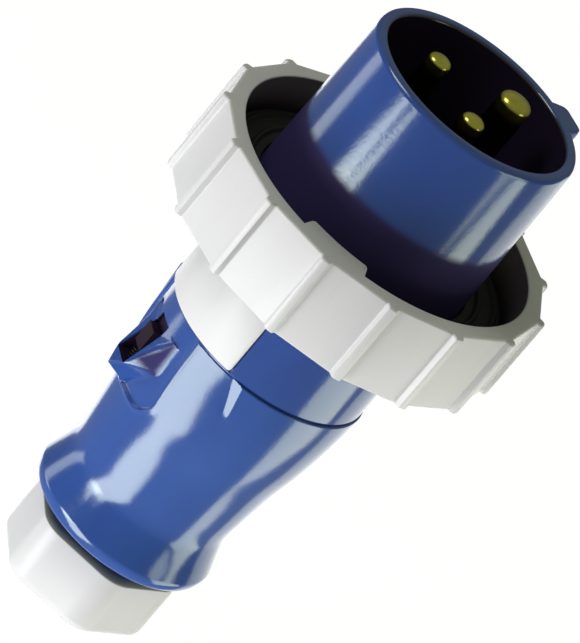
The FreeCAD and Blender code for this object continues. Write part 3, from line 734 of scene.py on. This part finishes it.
def handle_shape(radius, height, angle):
    """Adds the ledge, facet, pad, hood and slot to the handle's round outside."""
    in_bore = radius < HANDLE_BORE_R + 0.25 and height > BORE_FLOOR - 0.3
    if radius < 17.0 or height < 40.0 or in_bore:
        return radius, height
    turn = (angle + 180.0) % 360.0 - 180.0
    if turn > 176.0:
        turn -= 360.0
    deepening = eased((height - LEDGE_START) / (SHOULDER - LEDGE_START))
    sink = (through(HANDLE_CURVE, SHOULDER) - LEDGE_R) * deepening
    if LEDGE[0] < turn < LEDGE[1]:
        radius -= sink
    elif LEDGE[1] <= turn < FACET_CREST + 14.0 and height > LEDGE_START:
        along = on_cylinder(1.0, turn, 0.0)
        rise = FACET_FOOT.dot(FACET_NORMAL) - FACET_NORMAL.z * height
        facet = rise / (along.x * FACET_NORMAL.x + along.y * FACET_NORMAL.y)
        cut = radius - min(radius, max(radius - sink, facet))
        faded = sink * (1.0 - eased((turn - LEDGE[1]) / 18.0))
        share = eased((height - FACET_TIP[1] + 2.5) / 3.0)
        radius -= faded + (cut - faded) * share
    off = math.radians(turn - HOOD_ANGLE)
    across = radius * math.sin(off)
    if abs(across) > PAD_HALF + 2.0 or math.cos(off) < 0:
        return radius, height
    outside_x = abs(across) - (PAD_HALF - PAD_CORNER)
    outside_z = (PAD_LOW + PAD_CORNER) - height
    if outside_x > 0 and outside_z > 0:
        depth = PAD_CORNER - math.hypot(outside_x, outside_z)
    else:
        depth = PAD_CORNER - max(outside_x, outside_z)
    radius += PAD_BEAD * math.exp(-((depth + 0.45) / 0.42) ** 2) - PAD_DEPTH * eased(depth / 0.6 + 0.5)
    if height < HOOD_START:
        pad = radius * math.cos(off)
        hood = hood_level(abs(across - HOOD_SHIFT), height, pad)
        if hood > 17.0:
            radius = soft_max(radius, hood / math.cos(off), 0.25)
    if SLOT[0] - 0.3 < height < SLOT[1] + 0.3:
        open_share = inside_box(math.degrees(off), *SLOT_TURN, 0.3)
        open_share *= inside_box(height, SLOT[0], SLOT[1], 0.16)
        radius += (min(SLOT_FLOOR / math.cos(off), radius) - radius) * open_share
    return radius, height


def hood_level(side, height, pad):
    """The latch hood's height over the axis: a beak, high at its tail and widest towards the barrel."""
    crest = 20.6 + 4.6 * max((HOOD_START - height) / (HOOD_START - HOOD_PEAK), 0.0) ** 1.1
    flank = pad + (HOOD_HALF - side) * max(0.4 + 0.055 * (57.0 - height), 0.3)
    inside = (height - 45.6) * 0.67 - side * 0.742
    tail = pad + inside * (max(2.6 - 0.27 * side, 0.5) if inside > 0 else 2.0)
    return soft_min(soft_min(crest, flank, 0.4), tail, 0.5)


def handle():
    """The outside as one skin from the neck to the front edge, and the bore behind the edge."""
    thread = [(NECK_R, NECK_END + 0.25 * step) for step in range(37)]
    flare_foot, flare_rear, flare_wide = 18.2, 17.0, HANDLE_CURVE[0][0]
    collar = filleted([(NECK_R, HANDLE_REAR), (COLLAR_R, HANDLE_REAR, 0.3),
                       (flare_foot, flare_rear, 1.2)])[1:]
    flare = [(flare_foot + (FLARE_R - flare_foot) * math.sin(math.radians(10 * step)),
              flare_wide - (flare_wide - flare_rear) * math.cos(math.radians(10 * step)))
             for step in range(1, 10)]
    heights = with_fine(20.2, SHOULDER - 0.3, 0.7, [(44.5, 65.0, 0.175)])
    waist = [(through(HANDLE_CURVE, height), height) for height in heights]
    front = [(22.5, SHOULDER - 0.16), (22.4, SHOULDER - 0.05), (22.25, SHOULDER),
             (HANDLE_BORE_R + 0.2, SHOULDER), (HANDLE_BORE_R, SHOULDER - 0.2),
             (HANDLE_BORE_R, BORE_FLOOR), (15.0, BORE_FLOOR)]
    neck = [(NECK_BORE_R, 23.0), (NECK_BORE_R, NECK_END + 0.2), (NECK_BORE_R + 0.2, NECK_END),
            (NECK_R - 0.4, NECK_END)]
    outline = neck + thread + collar + flare + waist + front
    hood_span = (HOOD_ANGLE + 360.0 - 33.0, HOOD_ANGLE + 360.0 + 33.0, 0.42)
    facet_span = (360.0 - 93.5, 360.0 - 80.0, 0.2)
    slot_spans = [(HOOD_ANGLE + 360.0 + side - 0.5, HOOD_ANGLE + 360.0 + side + 0.5, 0.1)
                  for side in SLOT_TURN]
    angles = with_fine(0.0, 360.0, 1.6, [hood_span, facet_span] + slot_spans)[:-1]

    def shape(radius, height, angle):
        if radius == NECK_R and height < HANDLE_REAR:
            wave = 0.5 - 0.5 * math.cos(2 * math.pi * (height / THREAD_PITCH - angle / 360.0))
            groove = 0.75 * eased(wave * 1.5 - 0.25) * eased((height - NECK_END - 0.2) / 0.8)
            return NECK_R - 0.05 - groove, height
        return handle_shape(radius, height, angle)

    body = spun(outline, angles, shape)
    piece = make_piece("handle_skin", *body, blue, "plug", "handle_blue", ["handle"], crease=50.0)
    # painted shade: faces down in the latch's slot take the near-black painted shade material
    piece.data.materials.append(slot_painted_shade)
    for face in piece.data.polygons:
        face.material_index = int(in_slot(face.center))
    return piece


def in_slot(point):
    """Whether a place on the handle is down in the latch's slot."""
    height = point.z / MM
    off = (math.degrees(math.atan2(point.y, point.x)) - HOOD_ANGLE + 180.0) % 360.0 - 180.0
    reach = math.hypot(point.x, point.y) / MM
    side = abs(reach * math.sin(math.radians(off)) - HOOD_SHIFT)
    level = reach * math.cos(math.radians(off))
    pad = (through(HANDLE_CURVE, height) - PAD_DEPTH) * math.cos(math.radians(off)) - 0.25
    sunk = level < max(hood_level(side, height, pad), pad) - 0.25
    along = SLOT[0] - 0.2 < height < SLOT[1] + 0.2
    return sunk and along and SLOT_TURN[0] - 0.4 < off < SLOT_TURN[1] + 0.4


# Gland nut

NUT_APOTHEM = 15.45
NUT_CORNER = 6.5
NUT_TURN = -5.0
NUT_ROUNDING = 2.2
NUT_BORE_R = 12.9
NUT_FLOOR = 2.6
CABLE_HOLE_R = 7.8
HALF_SIDE = math.radians(30.0)


def nut_reach(angle, inset):
    """The nut's outside at one angle: a hexagon with rounded corners, moved inwards."""
    off = math.radians((angle - NUT_TURN + 30.0) % 60.0 - 30.0)
    flat, corner = NUT_APOTHEM - inset, NUT_CORNER - inset
    centre = (NUT_APOTHEM - NUT_CORNER) / math.cos(HALF_SIDE)
    on_flat = flat / math.cos(HALF_SIDE - abs(off))
    across = centre * math.sin(off)
    on_corner = centre * math.cos(off) + math.sqrt(max(corner ** 2 - across ** 2, 0.0))
    limit = HALF_SIDE - math.atan(centre * math.sin(HALF_SIDE) / flat)
    return on_corner if abs(off) < limit else on_flat


def nut_shape(inset, height, angle):
    """Small values are insets from the hexagon, and large ones are radii."""
    return (nut_reach(angle, inset) if inset < NUT_CORNER else inset), height


def gland_nut():
    """The rounded hexagon, bevelled at the front, the thread's bore, its floor and the cable's hole."""
    turns = [math.radians(10 * step) for step in range(10)]
    outside = [(2.6, 0.0)]
    outside += [(NUT_ROUNDING * (1 - math.sin(turn)), NUT_ROUNDING * (1 - math.cos(turn))) for turn in turns]
    outside += [(inset, NUT_FRONT - drop) for inset, drop in
                ((0.0, 1.1), (0.12, 0.75), (0.4, 0.4), (0.85, 0.12), (1.3, 0.0))]
    inside = filleted([
        (NUT_BORE_R + 0.5, NUT_FRONT), (NUT_BORE_R, NUT_FRONT, 0.3), (NUT_BORE_R, NUT_FLOOR, 0.4),
        (CABLE_HOLE_R, NUT_FLOOR, 0.2), (CABLE_HOLE_R, 0.8, 0.2), (CABLE_HOLE_R + 0.8, 0.0, 0.2),
        (CABLE_HOLE_R + 1.6, 0.0),
    ])
    angles = even_angles(288)
    body = spun(outside + inside, angles, nut_shape)
    body[1].extend(closing(len(outside + inside), len(angles)))
    return make_piece("gland_nut_cap", *body, nut_grey, "nut", "nut_grey", ["gland_nut"], crease=40.0)


front_housing()
label_plate()
bayonet_ring()
flange_gasket()
contact_pin("line_pin", 2.5, 166.5, MOUTH - 0.1)
contact_pin("neutral_pin", 2.5, -73.5, MOUTH - 0.1)
contact_pin("earth_pin", 3.5, 46.5, MOUTH + 1.6)
handle()
gland_nut()

KEPT = {
    "contact_carrier": carrier_black, "pin_retainer": carrier_black, "retainer_screw": steel,
    "terminal_screws": steel, "retaining_clip": steel, "housing_seal": gasket_black,
    "housing_latch": latch_blue, "latch_spring": spring_black, "gland_seal": gasket_black,
    "gland_clamp": gland_grey, "gland_washer": gland_grey,
}
for node, material in KEPT.items():
    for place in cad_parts[node].material_slots:
        place.material = material


# Floor, light and camera, in metres

LAMP_AIM = Vector((0, 0, 0.08))
COOL = (0.98, 0.98, 1.0)
WARM = (1.0, 1.0, 0.9)
WARMER = (1.0, 1.0, 0.86)


def studio_floor():
    """A pale floor that shows white to the camera and keeps a soft shadow."""
    reach = 6.0
    mesh = bpy.data.meshes.new("studio_floor")
    mesh.from_pydata([(-reach, -reach, 0), (reach, -reach, 0), (reach, reach, 0), (-reach, reach, 0)],
                     [], [(0, 1, 2, 3)])
    floor = bpy.data.objects.new("studio_floor", mesh)
    bpy.context.scene.collection.objects.link(floor)
    finish = Finish("studio_floor", Roughness=0.9)
    grain = finish.noise(3.0, 3.0)
    finish.feed("Base Color", finish.blend(grain, (0.88, 0.88, 0.88, 1.0), (0.9, 0.9, 0.9, 1.0)))
    glow = finish.node("ShaderNodeEmission", None, {"Color": (1.0, 1.0, 1.0, 1.0), "Strength": 1.12})
    seen = finish.node("ShaderNodeLightPath", output="Is Camera Ray")
    lit = Flow(finish, finish.tree.nodes["Principled BSDF"].outputs[0])
    finish.link(finish.node("ShaderNodeMixShader", None, {0: seen * 0.86, 1: lit, 2: glow}),
                "Material Output", "Surface")
    mesh.materials.append(finish.material)
    floor.visible_diffuse = False
    floor.visible_glossy = False
    floor.visible_shadow = False


def softbox(name, azimuth, elevation, width, height, strength, tilt=40.0, distance=0.5,
            tint=(1.0, 1.0, 1.0), glossy=True, diffuse=True):
    """A soft lamp round the plug: azimuth 0 in front and positive to the right, top tilted left.

    A lamp that isn't glossy shows in no reflection, and one that isn't diffuse shows only there."""
    lamp = bpy.data.lights.new(name, "AREA")
    lamp.shape = "RECTANGLE"
    lamp.size = width
    lamp.size_y = height
    lamp.energy = strength * math.pi * width * height
    lamp.color = tint
    light = bpy.data.objects.new(name, lamp)
    turn, rise, lean = math.radians(azimuth - 90.0), math.radians(elevation), math.radians(tilt)
    away = Vector((math.cos(turn) * math.cos(rise), math.sin(turn) * math.cos(rise), math.sin(rise)))
    aside = Vector((-math.sin(turn), math.cos(turn), 0))
    upward = away.cross(aside)
    lamp_up = upward * math.cos(lean) - aside * math.sin(lean)
    light.matrix_world = placed(lamp_up.cross(away), lamp_up, away, away * distance + LAMP_AIM)
    light.visible_camera = False
    light.visible_glossy = glossy
    light.visible_diffuse = diffuse
    bpy.context.scene.collection.objects.link(light)


def placed(across, upward, back, place):
    """A matrix from three axes and a place."""
    matrix = Matrix((across, upward, back)).transposed().to_4x4()
    matrix.translation = place
    return matrix


def studio_world():
    """A dim fill from above and below, dark at the horizon, which only the camera sees as white."""
    world = bpy.data.worlds.new("studio_fill")
    world.use_nodes = True
    bpy.context.scene.world = world
    fill = Network(world.node_tree)
    away = fill.node("ShaderNodeTexCoord", output="Generated")
    rise = fill.node("ShaderNodeSeparateXYZ", None, {0: away}, 2)
    light = fill.node("ShaderNodeValToRGB", {"stops": [
        (0.0, (0.30, 0.31, 0.33)), (0.32, (0.22, 0.23, 0.25)), (0.42, (0.08, 0.08, 0.1)),
        (0.58, (0.09, 0.09, 0.09)), (0.78, (0.225, 0.235, 0.16)), (1.0, (0.225, 0.235, 0.16)),
    ]}, {0: rise * 0.5 + 0.5})
    seen, glossy, passed = (fill.node("ShaderNodeLightPath", output="Is %s Ray" % kind)
                            for kind in ("Camera", "Glossy", "Transmission"))
    shown = fill.node("ShaderNodeMix", {"data_type": "RGBA"},
                      {0: seen + passed + glossy * 0.06, 6: light, 7: (1.0, 1.0, 1.0, 1.0)}, 2)
    fill.link(shown, "Background", "Color")


def photo_camera():
    """The photograph's view: a long lens from 25.8 degrees above, rolled to the left."""
    distance, focal_px = 1.5, 7980.0
    rise, roll = math.radians(25.8), math.radians(40.1)
    middle_u, middle_v = 386.6, 202.3
    target = Vector((0, 0, 0.105))
    right, upright = Vector((1, 0, 0)), Vector((0, math.sin(rise), math.cos(rise)))
    ahead = Vector((0, math.cos(rise), -math.sin(rise)))
    image_right = right * math.cos(roll) + upright * math.sin(roll)
    image_up = upright * math.cos(roll) - right * math.sin(roll)
    place = target - ahead * distance
    place -= image_right * ((middle_u - 290.0) / focal_px * distance)
    place -= image_up * ((321.5 - middle_v) / focal_px * distance)
    lens = bpy.data.cameras.new("photo_camera")
    lens.sensor_fit = "HORIZONTAL"
    lens.sensor_width = 36.0
    lens.lens = 36.0 * focal_px / 580.0
    lens.clip_end = 50.0
    camera = bpy.data.objects.new("photo_camera", lens)
    camera.matrix_world = placed(image_right, image_up, -ahead, place)
    bpy.context.scene.collection.objects.link(camera)
    bpy.context.scene.camera = camera


studio_floor()
studio_world()
softbox("front_left", -34.0, -33.0, 0.26, 0.4, 6.5, 28.0, tint=COOL)
softbox("front_edge", -46.5, -17.0, 0.13, 0.15, 6.5, 28.0, tint=COOL, diffuse=False)
softbox("far_left", -97.0, -20.0, 0.13, 0.22, 2.4, 25.0)
softbox("left_panel", -160.0, -24.0, 0.2, 0.3, 1.8, 30.0)
softbox("right_strip", 89.0, -26.0, 0.24, 0.3, 3.2, tint=WARMER)
softbox("right_high", 76.0, 4.0, 0.28, 0.2, 2.3, 30.0, tint=WARM)
softbox("right_panel", 147.0, -28.0, 0.34, 0.5, 1.15, tint=WARM)
softbox("low_fill", 22.0, -62.0, 0.42, 0.42, 2.5, 0.0, 0.6, glossy=False)
softbox("tip_light", -72.0, 42.0, 0.2, 0.2, 4.4)
photo_camera()
bpy.context.scene.view_settings.view_transform = "Standard"
